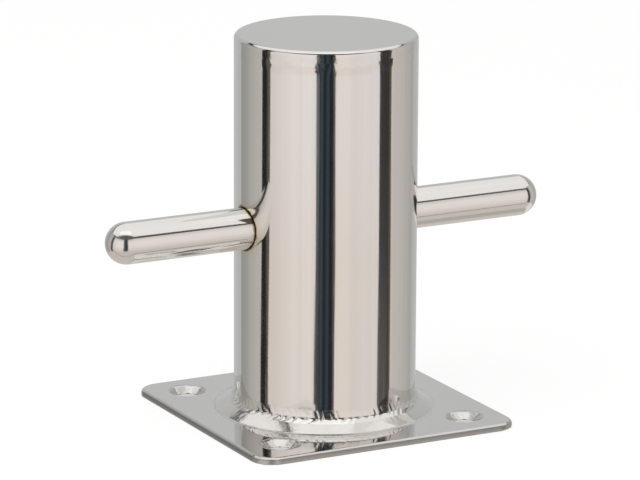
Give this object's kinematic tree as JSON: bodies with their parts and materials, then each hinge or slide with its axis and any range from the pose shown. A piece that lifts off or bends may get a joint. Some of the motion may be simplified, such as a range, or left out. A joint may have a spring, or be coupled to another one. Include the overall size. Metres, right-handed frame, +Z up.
{
  "type": "mooring bollard",
  "caption": "Deck bollard: a capped round post on a square base plate with countersunk screw holes, crossed by a round bar with domed ends for belaying a mooring line.",
  "frame": {"origin": "centre of the base plate's underside, which is the face that lies on the deck", "axes": "+Z up along the post's axis, +X along the cross bar, +Y across it in the plane of the base plate"},
  "size_m": [0.2, 0.12, 0.1615],
  "materials": {
    "polished_steel": "mirror-polished stainless steel",
    "weld_metal": "stainless weld bead as laid, lightly polished"
  },
  "bodies": {
    "root": {"base_plate": "polished_steel", "post_tube": "polished_steel", "top_cap": "polished_steel", "cross_bar": "polished_steel", "base_weld": "weld_metal", "cap_weld": "polished_steel", "bar_weld_left": "weld_metal", "bar_weld_right": "weld_metal"}
  },
  "joints": []
}
